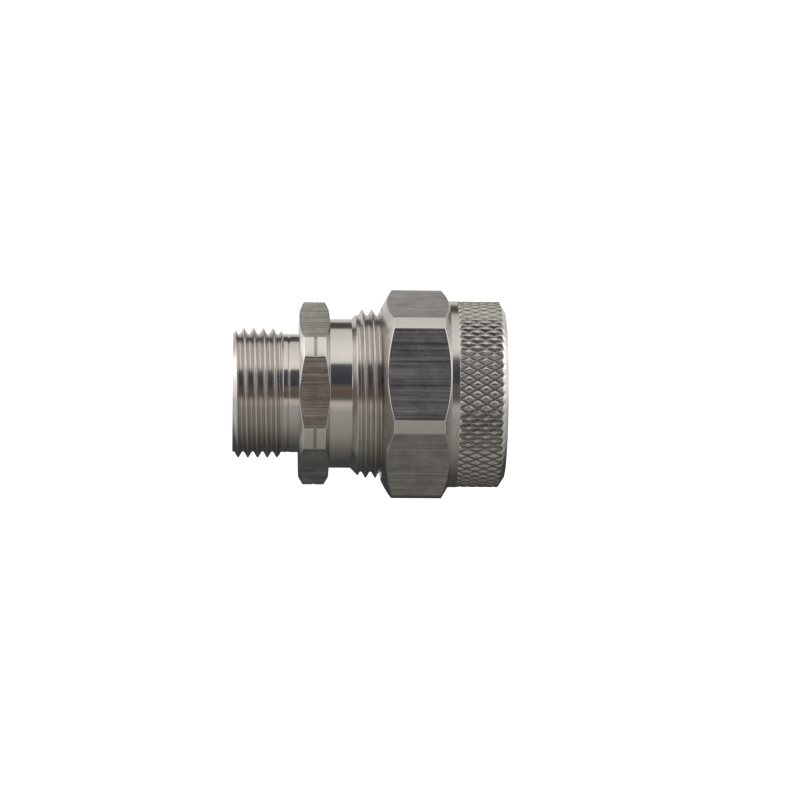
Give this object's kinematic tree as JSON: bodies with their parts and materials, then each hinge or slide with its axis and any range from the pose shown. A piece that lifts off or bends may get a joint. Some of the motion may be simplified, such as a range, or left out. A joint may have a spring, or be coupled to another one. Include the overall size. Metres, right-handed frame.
{
  "type": "cable gland",
  "caption": "Straight metal compression cable gland: threaded hub, hexagonal body, rubber sealing bushing, slip ring and a knurled hexagonal compression nut.",
  "frame": {"origin": "on the gland's axis at the seating face of the body's hexagon", "axes": "+X along the axis from the hub towards the cable entry, +Z square to one flat of the body's hexagon"},
  "size_m": [0.0419, 0.0322, 0.0316],
  "materials": {
    "body_metal": "nickel plated, turned, with milled flats",
    "seal_rubber": "moulded, matt black",
    "ring_metal": "stamped, plain",
    "nut_metal": "nickel plated, turned, with milled flats and a diamond knurl"
  },
  "bodies": {
    "body": {"gland_body": "body_metal"},
    "seal_stack": {"sealing_bushing": "seal_rubber", "slip_ring": "ring_metal"},
    "nut": {"compression_nut": "nut_metal"}
  },
  "joints": [
    {"name": "stack_slide", "type": "slide", "parent": "body", "child": "seal_stack", "axis": [-1, 0, 0], "range_m": [-0.0076, 0.00305]},
    {"name": "nut_turn", "type": "hinge", "parent": "seal_stack", "child": "nut", "pos_m": [0.02, 0, 0], "axis": [-1, 0, 0], "range_deg": [-1800, 720]}
  ],
  "couplings": [
    {"joint": "stack_slide", "follows": "nut_turn", "m_per_rad": 0.00023873}
  ]
}
